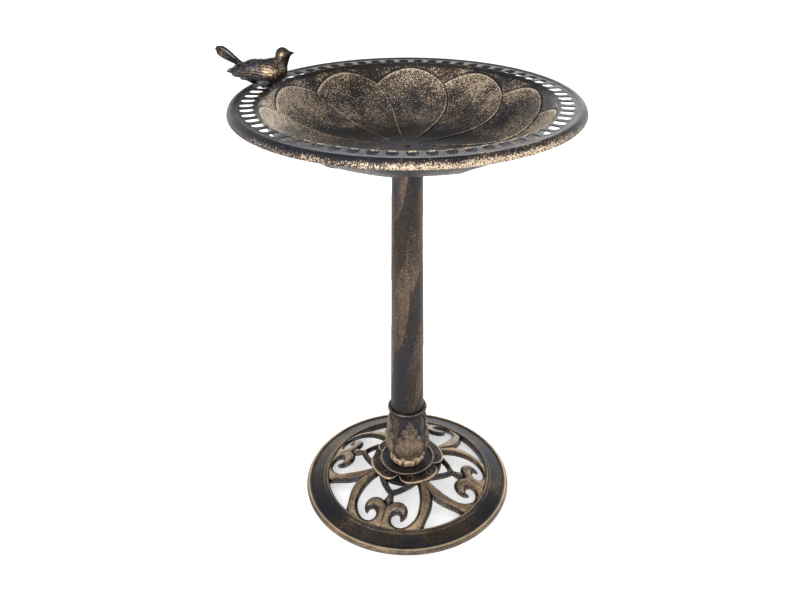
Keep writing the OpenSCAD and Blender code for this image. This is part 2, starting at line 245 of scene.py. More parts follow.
def skin(field, low, high, step):
    """Vertices and quads of the surface where a field turns from negative, inside, to positive."""
    axes = [np.arange(a, b + step, step) for a, b in zip(low, high)]
    grid = np.stack(np.meshgrid(*axes, indexing="ij"))
    f = field(*grid)
    cells = tuple(n - 1 for n in f.shape)
    total = np.zeros(cells + (3,))
    count = np.zeros(cells)
    crossings = []
    for k in range(3):
        first = [slice(None)] * 3
        second = [slice(None)] * 3
        first[k] = slice(0, -1)
        second[k] = slice(1, None)
        a, b = f[tuple(first)], f[tuple(second)]
        cross = (a < 0) != (b < 0)
        t = np.where(cross, a / np.where(cross, a - b, 1), 0)
        crossings.append((cross, a < 0))
        where = [grid[i][tuple(first)] for i in range(3)]
        where[k] = where[k] + t * step
        p, q = (k + 1) % 3, (k + 2) % 3
        for dp in (0, 1):
            for dq in (0, 1):
                part = [slice(None)] * 3
                part[p] = slice(dp, dp + cells[p])
                part[q] = slice(dq, dq + cells[q])
                part = tuple(part)
                count += cross[part]
                for i in range(3):
                    total[..., i] += np.where(cross[part], where[i][part], 0)
    used = count > 0
    number = np.full(cells, -1)
    number[used] = np.arange(used.sum())
    verts = total[used] / count[used][:, None]
    quads = []
    for k, (cross, out_up) in enumerate(crossings):
        p, q = (k + 1) % 3, (k + 2) % 3
        at = np.argwhere(cross)
        at = at[(at[:, p] > 0) & (at[:, q] > 0) & (at[:, p] < cells[p]) & (at[:, q] < cells[q])]
        ep, eq = np.eye(3, dtype=int)[p], np.eye(3, dtype=int)[q]
        corner = [number[tuple((at - d).T)] for d in (ep + eq, eq, 0 * ep, ep)]
        quad = np.stack(corner, axis=1)
        flip = ~out_up[tuple(at.T)]
        quad[flip] = quad[flip][:, ::-1]
        quads.append(quad)
    return verts, np.vstack(quads)


# ---------------------------------------------------------------- materials

class Nodes:
    """A new material, and short names for the nodes that it is made of."""

    def __init__(self, name):
        self.material = bpy.data.materials.new(name)
        self.material.use_nodes = True
        self.tree = self.material.node_tree
        self.shader = self.tree.nodes["Principled BSDF"]
        self.place = self.tree.nodes.new("ShaderNodeTexCoord").outputs["Object"]

    def link(self, value, socket):
        if isinstance(value, bpy.types.NodeSocket):
            self.tree.links.new(value, socket)
        else:
            socket.default_value = value

    def node(self, kind, **values):
        node = self.tree.nodes.new("ShaderNode" + kind)
        for name, value in values.items():
            self.link(value, node.inputs[name])
        return node

    def noise(self, scale, detail=3.0, rough=0.55, distortion=0.0, stretch=None):
        where = self.place
        if stretch:
            where = self.node("Mapping", Scale=stretch, Vector=where).outputs["Vector"]
        return self.node("TexNoise", Scale=scale, Detail=detail, Roughness=rough,
                         Distortion=distortion, Vector=where).outputs["Fac"]

    def math(self, kind, a, b):
        node = self.node("Math")
        node.operation = kind
        self.link(a, node.inputs[0])
        self.link(b, node.inputs[1])
        return node.outputs[0]

    def scaled(self, value, factor, offset):
        return self.math("ADD", self.math("MULTIPLY", value, factor), offset)

    def finish(self, colour, rough, normal=None, metal=0.0):
        """Joins colour, roughness and normal to the material's shader."""
        self.link(colour, self.shader.inputs["Base Color"])
        self.link(rough, self.shader.inputs["Roughness"])
        if normal:
            self.link(normal, self.shader.inputs["Normal"])
        self.shader.inputs["Metallic"].default_value = metal
        return self.material

    def fade(self, value, low, high):
        """0 below low and 1 above high."""
        node = self.node("MapRange", **{"Value": value, "From Min": low, "From Max": high})
        node.interpolation_type = "SMOOTHSTEP"
        return node.outputs["Result"]

    def mix(self, amount, a, b):
        node = self.node("Mix")
        node.data_type = "RGBA"
        self.link(amount, node.inputs["Factor"])
        self.link(a, node.inputs["A"])
        self.link(b, node.inputs["B"])
        return node.outputs["Result"]

    def attribute(self, name):
        node = self.node("Attribute")
        node.attribute_name = name
        return node.outputs["Fac"]

    def bump(self, height, distance, strength, below=None):
        node = self.node("Bump", Strength=strength, Distance=distance, Height=height)
        if below:
            self.link(below, node.inputs["Normal"])
        return node.outputs["Normal"]


NAVY = (0.010, 0.012, 0.019, 1)
BLACK_BROWN = (0.017, 0.012, 0.009, 1)
BROWN = (0.090, 0.060, 0.041, 1)
BRONZE = (0.240, 0.178, 0.126, 1)
GOLD = (0.470, 0.330, 0.190, 1)
PALE_DUST = (0.640, 0.530, 0.410, 1)
# Palest gold, for painted highlights on the dust.
HIGHLIGHT_GOLD = (0.720, 0.560, 0.370, 1)
DUST_EDGE = 0.72


def bronze(name, level, gold, spread, patch, grain, soft, shine=0.40, stretch=None, warm=0.5, tone=None):
    """Black paint dusted with bronze. The dust covers more where level, the patches and the per-vertex value
    are high. That value carries painted highlight and shade in places, and the palest gold it brings out is a
    painted highlight.
    """
    n = Nodes(name)
    dust_and_light = n.attribute("dust_and_light")
    patches = n.noise(patch, 4, 0.6, 0.6, stretch)
    clouds = n.noise(patch * 3.3, 4, 0.62, 0.3, stretch)
    tints = n.noise(patch * 0.8, 3, 0.5, 1.2, stretch)
    speck = n.noise(grain, 2, 0.62)
    dust_and_light_amount = n.math("MULTIPLY", dust_and_light, gold)
    cover = n.scaled(patches, spread, n.math("MULTIPLY", clouds, 0.6 * spread))
    cover = n.math("ADD", cover, level - 0.8 * spread)
    cover = n.math("ADD", cover, dust_and_light_amount)
    dark = n.mix(n.fade(tints, 0.56 - 0.2 * warm, 0.70 - 0.2 * warm), NAVY, BLACK_BROWN)
    under = n.mix(n.fade(cover, 0.05, 0.75), dark, BROWN)
    dust_and_highlight = n.mix(n.fade(n.scaled(dust_and_light, 0.25, tints), 0.38, 0.78), BRONZE, GOLD)
    # Where that value is highest the dust turns palest gold: a painted highlight.
    dust_and_highlight = n.mix(n.fade(n.scaled(clouds, 0.5, dust_and_light_amount), 0.72, 1.25), dust_and_highlight, HIGHLIGHT_GOLD)
    if tone:
        dust_and_highlight = n.mix(tone[0], dust_and_highlight, tone[1])
    grains = n.scaled(cover, 0.44, speck)
    colour = n.mix(n.fade(grains, DUST_EDGE - soft, DUST_EDGE + soft), under, dust_and_highlight)
    rough = n.scaled(speck, 0.12, n.scaled(clouds, 0.22, shine - 0.14))
    waves = n.bump(n.noise(120, 3, 0.6), 0.0008, 0.3)
    return n.finish(colour, rough, n.bump(speck, 0.0005, 0.5, waves), 0.6)


def zinc():
    n = Nodes("zinc_plate")
    clouds = n.noise(160, 4, 0.6, 0.8)
    streaks = n.noise(420, 3, 0.5, 0.0, (1, 1, 0.05))
    colour = n.mix(clouds, (0.42, 0.43, 0.45, 1), (0.64, 0.65, 0.66, 1))
    return n.finish(colour, n.scaled(streaks, 0.25, 0.22), n.bump(streaks, 0.0002, 0.4), 1.0)


def rubber():
    n = Nodes("black_rubber")
    clouds = n.noise(500, 3)
    colour = n.mix(clouds, (0.012, 0.012, 0.012, 1), (0.03, 0.03, 0.03, 1))
    return n.finish(colour, n.scaled(clouds, 0.2, 0.6), n.bump(n.noise(1500, 2), 0.0001, 0.4))


# name, level, gold, spread, patch, grain, soft, shine
BASIN_PAINT = bronze("basin_bronze", -0.06, 0.80, 0.95, 9.0, 500, 0.06, tone=(0.60, PALE_DUST))
POST_PAINT = bronze("post_bronze", -0.02, 0.62, 0.9, 18.0, 620, 0.14, 0.46,
                    stretch=(1, 1, 0.3), warm=1.0, tone=(0.66, BROWN))
SCROLL_PAINT = bronze("scroll_bronze", 0.02, 0.95, 0.7, 26.0, 700, 0.16, 0.20)
RING_PAINT = bronze("ring_bronze", -0.02, 0.9, 0.8, 9.0, 800, 0.22, 0.34)
DARK_PAINT = bronze("dark_bronze", 0.0, 0.9, 0.3, 40.0, 800, 0.15, 0.30, warm=-0.6)
GOLD_PAINT = bronze("gold_bronze", 0.06, 0.8, 0.6, 60.0, 800, 0.18, 0.32, warm=1.0)
BIRD_PAINT = bronze("bird_bronze", -0.04, 0.85, 0.8, 55.0, 760, 0.13, 0.16)
COLLAR_PAINT = bronze("collar_bronze", -0.12, 0.80, 0.7, 40.0, 900, 0.24, 0.34)
ROSETTE_PAINT = bronze("rosette_bronze", 0.0, 0.9, 0.5, 40.0, 800, 0.16, 0.32)
ZINC = zinc()
RUBBER = rubber()

CAD_FINISH = {
    "dark_bronze": DARK_PAINT, "gold_bronze": GOLD_PAINT, "antique_bronze": SCROLL_PAINT,
    "basin_bronze": BASIN_PAINT, "bird_bronze": BIRD_PAINT, "zinc_steel": ZINC, "seal_rubber": RUBBER,
}
for part in frame["record"]["subparts"]:
    cad_mesh = frame["nodes"][part["node"]].data
    cad_mesh.materials.clear()
    cad_mesh.materials.append(CAD_FINISH[part["material_slot"]])


# ---------------------------------------------------------------- basin

PETALS = 11
PETAL_PITCH = 360 / PETALS
PETAL_TURN = 88.6 - PETAL_PITCH / 2
NOTCH_R = 190.0
TIP_RISE = 17.0
CELL_INNER_R = 209.0
CELL_OUTER_R = 236.0
ARC_STEPS = 8
SIDE_STEPS = 10


def bowl_z(r):
    return FLOOR_Z + (WALL_TOP - FLOOR_Z) * (r / WALL_R) ** 5


def bowl_slope(r):
    return (WALL_TOP - FLOOR_Z) * 5 / WALL_R * (r / WALL_R) ** 4


def petal_turn(s):
    """How far, in degrees, a petal's edge leans clockwise at a share s of its length."""
    lean = 6.8 * (1 - s ** 8)
    return -lean * (1 - 0.55 * (1 - s) ** 3)


def tip_r(u):
    return NOTCH_R + TIP_RISE * np.sin(math.pi * np.clip(u, 0, 1)) ** 0.75


def petal_relief(u, s, r, outside):
    """Height of the pressed petals over the plain bowl, and how much it is dusted, with painted highlight and
    shade in that value.
    """
    pitch = math.radians(PETAL_PITCH)
    from_edge = u * pitch * r
    to_next = (1 - u) * pitch * r
    to_tip = tip_r(u) * (1 - s)
    spread = smoothstep(15, 90, r)
    inner = 1.5 * (1 - u) ** 1.6 * spread + 0.3
    inner = inner + 1.2 * np.sin(math.pi * u) * smoothstep(40, 140, r) * (1 - smoothstep(0.85, 1.0, s))
    bead = 0.25 * bump(from_edge - 0.9, 0.8) + 0.25 * bump(to_tip - 0.9, 0.8)
    groove = 0.55 * bump(to_next - 0.8, 0.8)
    inner = inner + (bead - groove) * smoothstep(8, 30, r)
    beyond = -to_tip
    height = np.where(outside, -0.6 * bump(beyond - 0.9, 0.9), inner)
    disc = 0.8 * (1 - smoothstep(44, 46.5, r)) + 0.25 * bump(r - 44, 1.2)
    # Painted shading: the floor is kept dark, the wall and the petals' outer ends lighter.
    field = 0.14 + 0.28 * smoothstep(55, 130, r) + 0.20 * smoothstep(0.72, 0.98, s)
    # Painted highlight along each petal's raised edge and round its tip, and painted shade in the groove
    # where it meets the next petal.
    line = 0.65 * smoothstep(10, 60, r)
    dust_and_light = field + line * (bump(from_edge - 0.7, 0.7) + bump(to_tip - 0.7, 0.7))
    dust_and_light = dust_and_light - 0.7 * bump(to_next - 0.7, 0.9)
    # Beyond the tips the wall is lighter, with a painted shadow line just outside each tip.
    dust_and_light = np.where(outside, 0.50 - 0.6 * bump(beyond - 0.8, 0.9) - 0.10 * smoothstep(3, 12, beyond), dust_and_light)
    # Painted highlight round the central disc's edge.
    dust_and_light = dust_and_light + 0.4 * bump(r - 44, 0.9)
    return height + disc, dust_and_light


def petal_grid(rows_in, rows_out, share, thickness, size):
    """One face of the bowl. Its columns follow the petals' edges and its rows follow their tips."""
    across = [0, 0.008, 0.018, 0.034, 0.06, 0.1, 0.15, 0.2, 0.26, 0.32, 0.38, 0.44, 0.5, 0.56, 0.62,
              0.68, 0.74, 0.8, 0.86, 0.91, 0.95, 0.972, 0.984, 0.992]
    u = np.tile(across, PETALS)
    start = np.repeat(np.arange(PETALS), len(across)) * PETAL_PITCH + PETAL_TURN + u * PETAL_PITCH
    rows = [(tip_r(u) * s, start + petal_turn(s), np.full_like(u, s), False) for s in rows_in]
    for t in rows_out:
        r = tip_r(u) + (CELL_INNER_R - tip_r(u)) * t
        rows.append((r, start, r / tip_r(u), True))
    verts, dust_and_light_rows = [], []
    for r, angle, s, outside in rows:
        height, dust_and_light = petal_relief(u, s, r, outside)
        r = r * size
        slope = bowl_slope(r)
        length = np.sqrt(1 + slope ** 2)
        shift = thickness - height * share * (1 - smoothstep(207.5, CELL_INNER_R, r / size))
        r_out = r + shift * slope / length
        a = np.radians(angle)
        verts.append(np.stack([r_out * np.cos(a), r_out * np.sin(a), bowl_z(r) - shift / length], axis=1))
        dust_and_light_rows.append(dust_and_light)
    return np.array(verts), np.array(dust_and_light_rows)


def zipper(ring_a, ring_b, verts):
    """Triangles between two rings of vertex numbers that go round the axis with different counts."""
    def by_angle(ring):
        a = np.arctan2(verts[ring][:, 1], verts[ring][:, 0])
        order = np.argsort(a)
        return np.array(ring)[order], a[order]
    a, aa = by_angle(ring_a)
    b, ab = by_angle(ring_b)
    i = j = 0
    out = []
    while i < len(a) or j < len(b):
        next_a = aa[i + 1] if i + 1 < len(a) else aa[0] + 2 * math.pi
        next_b = ab[j + 1] if j + 1 < len(b) else ab[0] + 2 * math.pi
        if j >= len(b) or (i < len(a) and next_a <= next_b):
            out.append((a[i % len(a)], b[j % len(b)], a[(i + 1) % len(a)]))
            i += 1
        else:
            out.append((a[i % len(a)], b[j % len(b)], b[(j + 1) % len(b)]))
            j += 1
    return np.array(out)


def rim_profile():
    """The crest and the rolled lip, from the slotted band's outer edge on top to its underside."""
    lip = [[CELL_OUTER_R, BAND_Z + 0.15], [238.5, RIM_Z - 0.4], [242, RIM_Z], [245.5, RIM_Z - 1.2],
           [248.3, RIM_Z - 4.2], [RIM_R, RIM_Z - 9], [RIM_R, RIM_Z - 11], [RIM_R - 0.7, RIM_Z - 12.5],
           [RIM_R - SHEET, RIM_Z - 12], [RIM_R - SHEET, RIM_Z - 9.5], [246.6, RIM_Z - 5.2],
           [244.6, RIM_Z - 3], [242, RIM_Z - SHEET], [CELL_OUTER_R, BAND_Z - SHEET]]
    return divide(soften(lip, 1.6), 1.6)


def band_cell():
    """One pitch of the slotted band, with its slot along X: top rings, the slot's wall and bottom rings."""
    half = 180 / SLOTS
    arc_out = [(CELL_OUTER_R, a) for a in np.linspace(-half, half, ARC_STEPS + 1)]
    arc_in = [(CELL_INNER_R, a) for a in np.linspace(half, -half, ARC_STEPS + 1)]
    up = [(r, half) for r in np.linspace(CELL_OUTER_R, CELL_INNER_R, SIDE_STEPS + 1)[1:-1]]
    down = [(r, -half) for r in np.linspace(CELL_INNER_R, CELL_OUTER_R, SIDE_STEPS + 1)[1:-1]]
    edge = np.array([(r * math.cos(math.radians(a)), r * math.sin(math.radians(a)))
                     for r, a in arc_out + up + arc_in + down])
    angle = np.arctan2(edge[:, 1], edge[:, 0] - SLOT_R)
    c, s = np.cos(angle), np.sin(angle)
    flat = (SLOT_LENGTH - SLOT_WIDTH) / 2
    radius = SLOT_WIDTH / 2
    straight = radius / np.maximum(np.abs(s), 1e-9)
    round_end = flat * np.abs(c) + np.sqrt(np.maximum(radius ** 2 - (flat * s) ** 2, 0))
    reach = np.where(straight * np.abs(c) <= flat, straight, round_end)
    hole = np.stack([SLOT_R + reach * c, reach * s], axis=1)
    outward = np.stack([c, s], axis=1)
    return edge, hole, outward


def top_z(r):
    """Height of the band's upper face, from the bowl's wall to the crest."""
    rise = bowl_z(np.minimum(r, WALL_R))
    return np.where(r <= WALL_R, rise, np.interp(r, [WALL_R, WALL_R + 2, 235, 238.5],
                                                 [WALL_TOP, BAND_Z, BAND_Z, BAND_Z + 0.5]))


def under_z(r):
    """Height of the band's lower face, where it meets the bowl's underside."""
    radii = np.linspace(150, WALL_R, 60)
    slope = bowl_slope(radii)
    length = np.sqrt(1 + slope ** 2)
    r_low = np.append(radii + SHEET * slope / length, WALL_R + SHEET + 0.1)
    z_low = np.append(bowl_z(radii) - SHEET / length, BAND_Z - SHEET)
    return np.interp(r, r_low, z_low)


def slotted_band():
    """The band's pitches side by side, and where the inner and outer arcs of a pitch are in its rings."""
    edge, hole, outward = band_cell()
    blend = hole + (edge - hole) * 0.5
    flare = hole + (edge - hole) * 0.35
    # Painted glint: the slots' inner ends get pale gold, as a highlight on their rounded inner edge.
    slot_end_glint = smoothstep(0.55, 0.95, -outward[:, 0])
    rings = [(edge, 0, 0.22), (blend, 0, 0.12), (hole + outward * 0.9, 0, 0.05),
             (hole + outward * 0.25, -0.08, 0.05 + 0.9 * slot_end_glint), (hole, -0.45, 0.9 * slot_end_glint),
             (flare, 0.35, 0.0), (flare + outward * 0.15, 0.1, 0.0), (flare + outward * 0.4, 0, 0.1),
             (hole + (edge - hole) * 0.7, 0, 0.1), (edge, 0, 0.1)]
    verts, dust_and_light_rows = [], []
    for k, (plan, shift, dust_and_light) in enumerate(rings):
        r = np.hypot(plan[:, 0], plan[:, 1])
        z = (top_z(r) if k < 5 else under_z(r)) + shift
        verts.append(np.column_stack([plan, z]))
        dust_and_light_rows.append(np.broadcast_to(dust_and_light, len(plan)))
    cell = np.vstack(verts)
    n = len(edge)
    quads = ring_quads(len(rings), n)[:, ::-1]
    all_verts = np.vstack([rotated(cell, SLOT_TURN + k * 360 / SLOTS) for k in range(SLOTS)])
    all_quads = np.vstack([quads + k * len(cell) for k in range(SLOTS)])
    inner = np.arange(ARC_STEPS + SIDE_STEPS, 2 * ARC_STEPS + SIDE_STEPS + 1)
    ring_starts = np.arange(SLOTS) * len(cell)
    inner_top = (ring_starts[:, None] + inner).ravel()
    inner_low = inner_top + (len(rings) - 1) * n
    return all_verts, all_quads, np.tile(np.concatenate(dust_and_light_rows), SLOTS), inner_top, inner_low


def weld(verts, dust_and_light, faces, tolerance=0.01):
    """Joins vertices that lie at the same place. Also returns each old vertex's new number."""
    key = np.round(verts / tolerance).astype(np.int64)
    _, first, inverse = np.unique(key, axis=0, return_index=True, return_inverse=True)
    inverse = inverse.ravel()
    return verts[first], dust_and_light[first], [inverse[f] for f in faces], inverse


def make_basin():
    rows_in = [0.02, 0.05, 0.08, 0.12, 0.16, 0.19, 0.21, 0.222, 0.234, 0.246, 0.26, 0.29, 0.33, 0.37]
    rows_in += list(np.linspace(0.41, 0.95, 28)) + [0.965, 0.978, 0.986, 0.992, 0.997, 1.0]
    rows_out = [0.05, 0.12, 0.25, 0.45, 0.7, 1.0]
    low_size = 207.34 / CELL_INNER_R
    top, top_dust_and_light = petal_grid(rows_in, rows_out, 1.0, 0.0, 1.0)
    low, low_dust_and_light = petal_grid(rows_in, rows_out, 0.8, SHEET, low_size)
    rows, columns = top.shape[:2]
    size = rows * columns
    band, band_quads, band_dust_and_light, inner_top, inner_low = slotted_band()
    profile = rim_profile()
    lip_columns = SLOTS * ARC_STEPS
    lip, lip_quads, _ = turned(profile[::-1], lip_columns, closed=False)
    drop = RIM_Z - profile[:, 1]
    # Lighter towards the lip's lower outer edge, dust with a painted highlight; the lip's inner face and
    # underside stay dark.
    lip_dust_and_highlight = 0.25 + 0.6 * smoothstep(0.5, 8, drop) * (profile[:, 0] > RIM_R - 1.9 - 0.5 * (12 - drop))
    lip_dust_and_highlight = np.where(np.arange(len(profile)) > np.argmax(drop), 0.1, lip_dust_and_highlight)[::-1]
    lip_angle = np.arange(lip_columns) * 2 * math.pi / lip_columns
    # Painted highlight: more gold on the lip's front, fading towards the sides, least at the back.
    front_highlight = 0.22 + 0.62 * np.clip(np.cos(lip_angle + math.pi / 2 - 0.1), 0, 1) ** 1.5
    poles = np.array([[0, 0, top[0, :, 2].mean()], [0, 0, low[0, :, 2].mean()]])
    band_start = 2 * size + 2
    lip_start = band_start + len(band)
    verts = np.vstack([top.reshape(-1, 3), low.reshape(-1, 3), poles, band,
                       rotated(lip, SLOT_TURN - 180 / SLOTS)])
    # The underside takes the top's values at 0.45, so it is darker: painted shade under the basin.
    dust_and_light = np.concatenate([top_dust_and_light.ravel(), 0.45 * low_dust_and_light.ravel(), [0.4, 0.2], band_dust_and_light,
                          (lip_dust_and_highlight[:, None] * front_highlight).ravel()])
    j = np.arange(columns)
    after = (j + 1) % columns
    faces = [ring_quads(rows, columns)[:, ::-1], ring_quads(rows, columns, size),
             np.stack([j, after, np.full(columns, 2 * size)], axis=1),
             np.stack([size + after, size + j, np.full(columns, 2 * size + 1)], axis=1),
             band_quads + band_start, lip_quads + lip_start]
    verts, dust_and_light, faces, number = weld(verts, dust_and_light, faces)
    last_row = (rows - 1) * columns + j
    faces.append(zipper(number[last_row], np.unique(number[band_start + inner_top]), verts)[:, ::-1])
    faces.append(zipper(number[size + last_row], np.unique(number[band_start + inner_low]), verts))
    add_piece("basin", verts, faces, dust_and_light, BASIN_PAINT, "basin")


make_basin()


# ---------------------------------------------------------------- post and its foot

def add_turned(node, profile, columns, relief, dust_and_light_at, material):
    """A closed turned piece that stands for one CAD node. The function given after relief gives the
    per-vertex dust value, with its painted highlight and shade, from angle, r, z and push.
    """
    verts, quads, push = turned(profile, columns, relief)
    angle = np.arctan2(verts[:, 1], verts[:, 0])
    dust_and_light = dust_and_light_at(angle, np.hypot(verts[:, 0], verts[:, 1]), verts[:, 2], push)
    add_piece(node, verts, [quads], dust_and_light, material, "stand")


def closed_profile(points, cut, step):
    return divide(soften(points, cut, closed=True), step, closed=True)


def wrap(angle):
    """An angle in radians brought to between -pi and pi."""
    return (angle + math.pi) % (2 * math.pi) - math.pi


POST_FOOT_R = 28.5
POST_TOP_R = 23.0
COLLAR_FLOOR_Z = COLLAR_Z + 11
COUPLER_HALF = 18
SOCKET_DEPTH = 56.5
BLADES = 3
BLADE_LEAN = 0.0042
BLADE_SINK = 0.45


def post_r(z):
    return POST_FOOT_R + (POST_TOP_R - POST_FOOT_R) * (z - COLLAR_TOP) / (POST_TOP_Z - COLLAR_TOP)


def blade_height(angle, z):
    """Long leaf blades in very low relief that lean round the post, one row above another."""
    height = np.zeros_like(angle)
    for row in range(4):
        foot = COLLAR_TOP + 2 + 118 * row
        t = (z - foot) / 175
        for k in range(BLADES):
            middle = 2 * math.pi * (k + 0.5 * (row % 2)) / BLADES - 1.35
            across = wrap(angle - middle - BLADE_LEAN * (z - foot)) * 25
            half = 15 * np.sin(math.pi * np.clip(t, 0, 1) ** 0.8) ** 0.7
            depth = half - np.abs(across)
            leaf = smoothstep(0, 1.6, depth) * (0.42 + 0.18 * across / 15)
            leaf = leaf - 0.25 * bump(across, 0.8) * smoothstep(1, 4, depth)
            leaf = leaf + 0.15 * bump(depth - 1.2, 0.8)
            height = np.maximum(height, leaf * (t > 0) * (t < 1))
    return height


def post_piece(node, low, high, inner):
    """One section of the post, from low to high, with its inner wall as a list of (r, z) from top to foot."""
    edge = 0.8
    outer = [[post_r(low) - edge, low], [post_r(low + edge), low + edge],
             [post_r(high - edge), high - edge], [post_r(high) - edge, high]]
    profile = closed_profile(outer + inner, 0.5, 2.4)

    def relief(angle, r, z):
        outside = (r > post_r(z) - 1.2) & (z > low + 0.5) & (z < high - 0.5)
        carved = outside * smoothstep(low, low + 4, z) * smoothstep(0, 4, high - z)
        return (blade_height(angle, z) - BLADE_SINK) * carved

    def dust_and_light(angle, r, z, push):
        outside = r > post_r(z) - 2.5
        # Dust on the raised blades, lighter with their height; the ground and the midribs stay darker, partly
        # as painted shading of the relief.
        return np.where(outside, 0.16 + 0.60 * (push + BLADE_SINK), 0)

    add_turned(node, profile, 216, relief, dust_and_light, POST_PAINT)


def make_post():
    """Three sections. Each one's inner wall goes down in steps, with a radius between two heights."""
    a, b, top = JOINT_1_Z, JOINT_2_Z, POST_TOP_Z
    for node, radii, heights in (
            ("post_lower", (23.0, 20.0, 27.0), (a, a - COUPLER_HALF, COLLAR_FLOOR_Z, COLLAR_TOP)),
            ("post_middle", (21.5, 20.0, 23.0), (b, b - COUPLER_HALF, a + COUPLER_HALF, a)),
            ("post_upper", (19.58, 17.5, 21.5), (top, top - SOCKET_DEPTH, b + COUPLER_HALF, b))):
        inner = [[r, z] for r, upper, foot in zip(radii, heights[:-1], heights[1:]) for z in (upper, foot)]
        post_piece(node, heights[-1], heights[0], inner)


make_post()

LEAVES = 4
COLLAR_R = 36.0
LEAF_RISE = 3.6
FRONT_LEAF = -math.pi / 2 + 0.13


def mirrored(side):
    return side + [[-x, y] for x, y in reversed(side) if abs(x) > 1e-6]


MAIN_LEAF = smooth_loop(mirrored([
    [0, 86], [4, 80], [10, 74], [8, 70.5], [14.5, 66], [18.5, 58], [15, 54.5], [21.5, 50], [25, 42],
    [22, 37.5], [27, 32], [28, 22], [27.5, 10], [22, 3], [0, 1]]))
BACK_LEAF = smooth_loop(mirrored([
    [0, 90], [4.5, 83], [8.5, 72], [9, 60], [6.5, 48], [8.5, 34], [6, 20], [0, 12]]))


def leaf_height(x, y):
    """Height of the collar's leaves over its recessed ground, in mm, on the unrolled surface."""
    d = outline_distance(x, y, MAIN_LEAF)
    main = LEAF_RISE * rounded(d, 5)
    main = main - 0.9 * bump(x, 0.9) * smoothstep(2, 5, d) * smoothstep(4, 20, y)
    for foot, tip_x, tip_y in ((14, 20, 26), (28, 18, 44), (42, 13, 60), (54, 7, 71)):
        for side in (-1, 1):
            path = [(side * 1.0, foot - 10), (side * tip_x * 0.55, foot), (side * tip_x, tip_y)]
            main = main - 0.45 * bump(curve_distance(x, y, path), 1.0) * smoothstep(1.0, 3, d)
    for side in (-1, 1):
        eye = np.hypot(x - side * 12.5, y - 49)
        main = main - 2.6 * bump(eye, 2.6)
        main = main + 0.9 * bump(eye - 4.2, 1.2) * (d > 0)
    return np.where(d > 0, np.maximum(main, 0), 0), d


def collar_relief(angle, r, z):
    around = wrap((angle - FRONT_LEAF) * LEAVES) / LEAVES * COLLAR_R
    pitch = 2 * math.pi * COLLAR_R / LEAVES
    y = z - COLLAR_Z
    main, d = leaf_height(around, y)
    side = (around + pitch) % pitch - pitch / 2
    e = outline_distance(side, y, BACK_LEAF)
    back = 2.0 * rounded(e, 4) - 0.6 * bump(side, 0.8) * smoothstep(2, 4, e)
    back = np.where(e > 0, np.maximum(back, 0), 0)
    berries = np.zeros_like(back)
    for bx, by, size in ((17.5, 82, 3.6), (22.5, 73, 2.8), (14.5, 74, 2.4), (21, 63, 2.6), (25, 55, 2.2)):
        for way in (-1, 1):
            away = np.hypot(around - way * bx, y - by)
            berries = np.maximum(berries, 2.2 * np.sqrt(np.maximum(1 - (away / size) ** 2, 0)))
    height = np.maximum(np.maximum(main, back), berries)
    carved = smoothstep(0.5, 4, y) * smoothstep(0, 3, 89 - y)
    return np.where(r > 30.5, (height - LEAF_RISE) * carved, 0)


def make_collar():
    k, t = COLLAR_Z, COLLAR_TOP
    rod, inner, floor_z = ROD_HOLE_R, 27.2, COLLAR_FLOOR_Z
    profile = [[28, k], [31, k + 1.5], [35.4, k + 7], [38.4, k + 14], [39.4, k + 22], [38.6, k + 32],
               [36.4, k + 45], [34.6, k + 60], [33.4, k + 75], [32.4, k + 85], [32.4, t - 8],
               [33.6, t - 5.5], [33.8, t - 2.5], [32.6, t], [inner, t],
               [inner, floor_z], [rod, floor_z], [rod, k]]
    outer = smooth_loop(profile[:14], 10, closed=False)
    rest = divide(soften(profile[13:], 0.5), 4)
    points = np.vstack([divide(outer, 0.9), rest[1:]])

    def dust_and_light(angle, r, z, push):
        # Painted highlight: a thin light line on the top rim's upper edge, with the rim's face below it
        # darker.
        rim = bump(z - (t - 0.8), 0.9) - 1.2 * bump(z - (t - 4.5), 2.5)
        bulge = 0.12 * smoothstep(60, 20, z - k)
        band = 1 - smoothstep(t - 10, t - 8, z)
        return np.where(r > 28.5, 0.02 + (0.42 + bulge) * band * smoothstep(-3.0, -0.1, push) + 0.6 * rim, 0)

    add_turned("leaf_collar", points, 384, collar_relief, dust_and_light, COLLAR_PAINT)


make_collar()

KNOP_LOBES = 8


def make_knop():
    z0, z1 = KNOP_Z, KNOP_TOP
    rod = ROD_HOLE_R
    profile = [[26.5, z0], [29.6, z0 + 2.6], [31, z0 + 7.1], [31, z0 + 12.1], [29.6, z0 + 16.1],
               [27.6, z0 + 18.7], [27.6, z1], [rod, z1], [rod, z0]]
    outer = divide(smooth_loop(profile[:7], 6, closed=False), 0.6)
    points = np.vstack([outer, divide(soften(profile[6:], 0.5), 4)[1:]])

    def relief(angle, r, z):
        turn = (angle - FRONT_LEAF) * KNOP_LOBES
        lobe = np.cos(turn)
        line = z0 + 12.6 + 2.6 * lobe
        low = 1 - smoothstep(-0.6, 1.0, z - line)
        crease = bump((1 - np.abs(np.sin(turn / 2 + math.pi / 2))) * 14, 3.0)
        push = -1.9 * (1 - low) - 1.7 * (1 - smoothstep(0.0, 0.22, 1 + lobe)) * low - 0.5 * crease * low
        second = np.cos(turn + math.pi)
        push = push + 0.9 * (1 - smoothstep(-0.6, 1.0, z - (z0 + 17.2 + 1.2 * second))) * (1 - low)
        push = push * smoothstep(z0 + 0.5, z0 + 3, z) * (1 - smoothstep(z1 - 3, z1 - 1.5, z))
        return np.where(r > 26.8, push, 0)

    def dust_and_light(angle, r, z, push):
        return np.where(r > 24.5, 0.1 + 0.85 * smoothstep(-1.9, -0.1, push), 0)

    add_turned("knop", points, 320, relief, dust_and_light, GOLD_PAINT)


make_knop()


